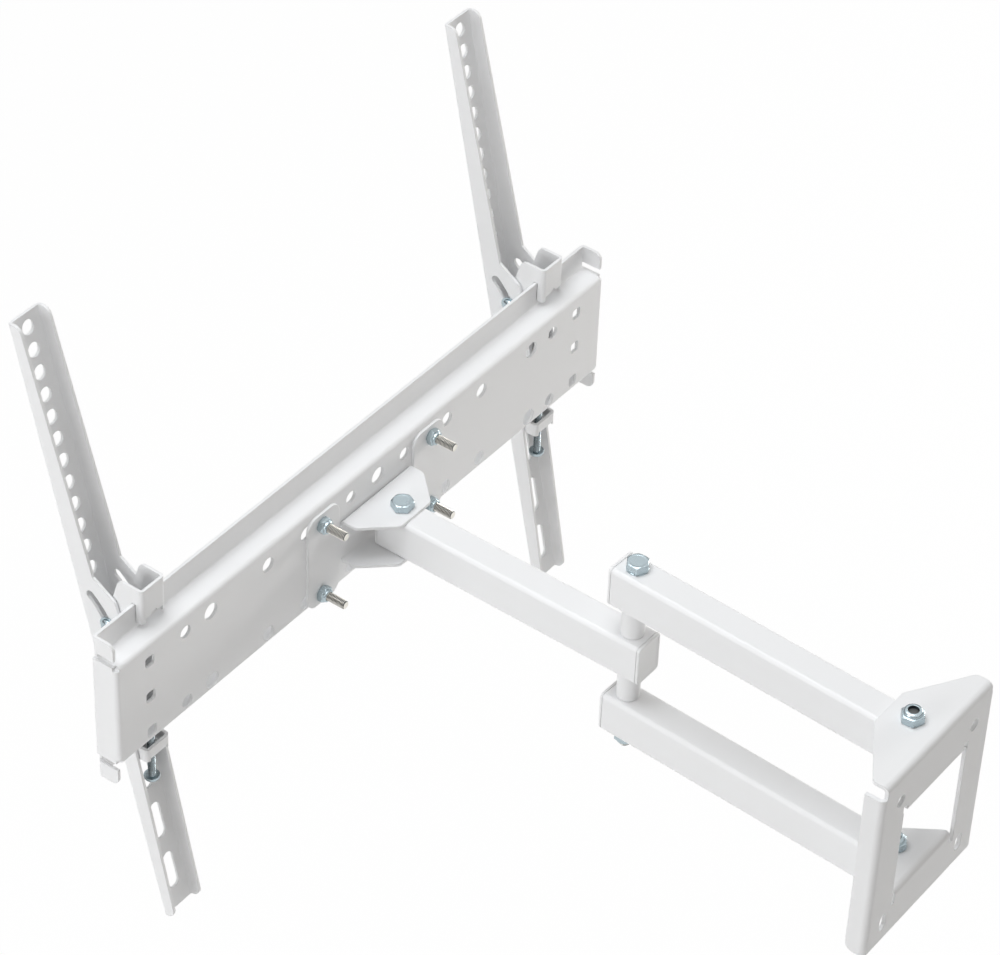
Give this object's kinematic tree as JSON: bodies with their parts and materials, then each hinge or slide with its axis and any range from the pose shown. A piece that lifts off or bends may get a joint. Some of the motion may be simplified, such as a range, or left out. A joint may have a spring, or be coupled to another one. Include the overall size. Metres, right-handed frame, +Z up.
{
  "type": "tv wall mount",
  "caption": "Full-motion wall mount for a flat screen: folded wall plate, double and single swivel tubes, crossbar and tilting uprights.",
  "frame": {"origin": "middle of the wall plate on the wall's surface, level with the middle of the arms", "axes": "+Z up, +Y into the wall, the mount reaches towards -Y, +X along the wall"},
  "size_m": [0.48, 0.5157, 0.4186],
  "materials": {
    "white_powder_coat": "satin powder coat",
    "zinc_plate": "bright zinc plate",
    "white_plastic": "moulded, satin"
  },
  "bodies": {
    "wall": {"wall_plate": "white_powder_coat", "upper_wall_bolt": "zinc_plate", "upper_wall_nut": "zinc_plate", "lower_wall_bolt": "zinc_plate", "lower_wall_nut": "zinc_plate", "wall_washers": "zinc_plate"},
    "rear_arm": {"upper_rear_tube": "white_powder_coat", "lower_rear_tube": "white_powder_coat", "rear_tube_caps": "white_plastic", "elbow_bolt": "zinc_plate", "elbow_nut": "zinc_plate", "elbow_washers": "zinc_plate", "elbow_spacers": "white_powder_coat"},
    "front_arm": {"front_tube": "white_powder_coat", "front_tube_caps": "white_plastic"},
    "head": {"head_bracket": "white_powder_coat", "head_bolt": "zinc_plate", "head_nut": "zinc_plate", "crossbar": "white_powder_coat", "crossbar_bolts": "zinc_plate", "crossbar_nuts": "zinc_plate"},
    "left_hook": {"left_hook": "white_powder_coat", "left_tilt_bolts": "zinc_plate", "left_tilt_nuts": "zinc_plate", "left_tilt_washers": "zinc_plate"},
    "left_upright": {"left_upright": "white_powder_coat"},
    "left_lock_screw": {"left_lock_screw": "zinc_plate"},
    "right_hook": {"right_hook": "white_powder_coat", "right_tilt_bolts": "zinc_plate", "right_tilt_nuts": "zinc_plate", "right_tilt_washers": "zinc_plate"},
    "right_upright": {"right_upright": "white_powder_coat"},
    "right_lock_screw": {"right_lock_screw": "zinc_plate"}
  },
  "joints": [
    {"name": "wall_swivel", "type": "hinge", "parent": "wall", "child": "rear_arm", "pos_m": [0, -0.02, 0], "axis": [0, 0, 1], "range_deg": [-81.6, 86.4]},
    {"name": "elbow_fold", "type": "hinge", "parent": "rear_arm", "child": "front_arm", "pos_m": [-0.00821, -0.21583, 0], "axis": [0, 0, -1], "range_deg": [-133, 137]},
    {"name": "head_swivel", "type": "hinge", "parent": "front_arm", "child": "head", "pos_m": [-0.00943, -0.39082, 0], "axis": [0, 0, 1], "range_deg": [-80, 80]},
    {"name": "left_slide", "type": "slide", "parent": "head", "child": "left_hook", "axis": [1, 0, 0], "range_m": [-0.144, 0.0305]},
    {"name": "left_tilt", "type": "hinge", "parent": "left_hook", "child": "left_upright", "pos_m": [0.18457, -0.50082, 0.0027], "axis": [1, 0, 0], "range_deg": [-19, 0]},
    {"name": "left_lock", "type": "slide", "parent": "left_hook", "child": "left_lock_screw", "axis": [0, 0, 1], "range_m": [-0.006, 0]},
    {"name": "right_slide", "type": "slide", "parent": "head", "child": "right_hook", "axis": [1, 0, 0], "range_m": [-0.0265, 0.148]},
    {"name": "right_tilt", "type": "hinge", "parent": "right_hook", "child": "right_upright", "pos_m": [-0.20743, -0.50082, 0.0027], "axis": [1, 0, 0], "range_deg": [-17, 2]},
    {"name": "right_lock", "type": "slide", "parent": "right_hook", "child": "right_lock_screw", "axis": [0, 0, 1], "range_m": [-0.006, 0]}
  ]
}
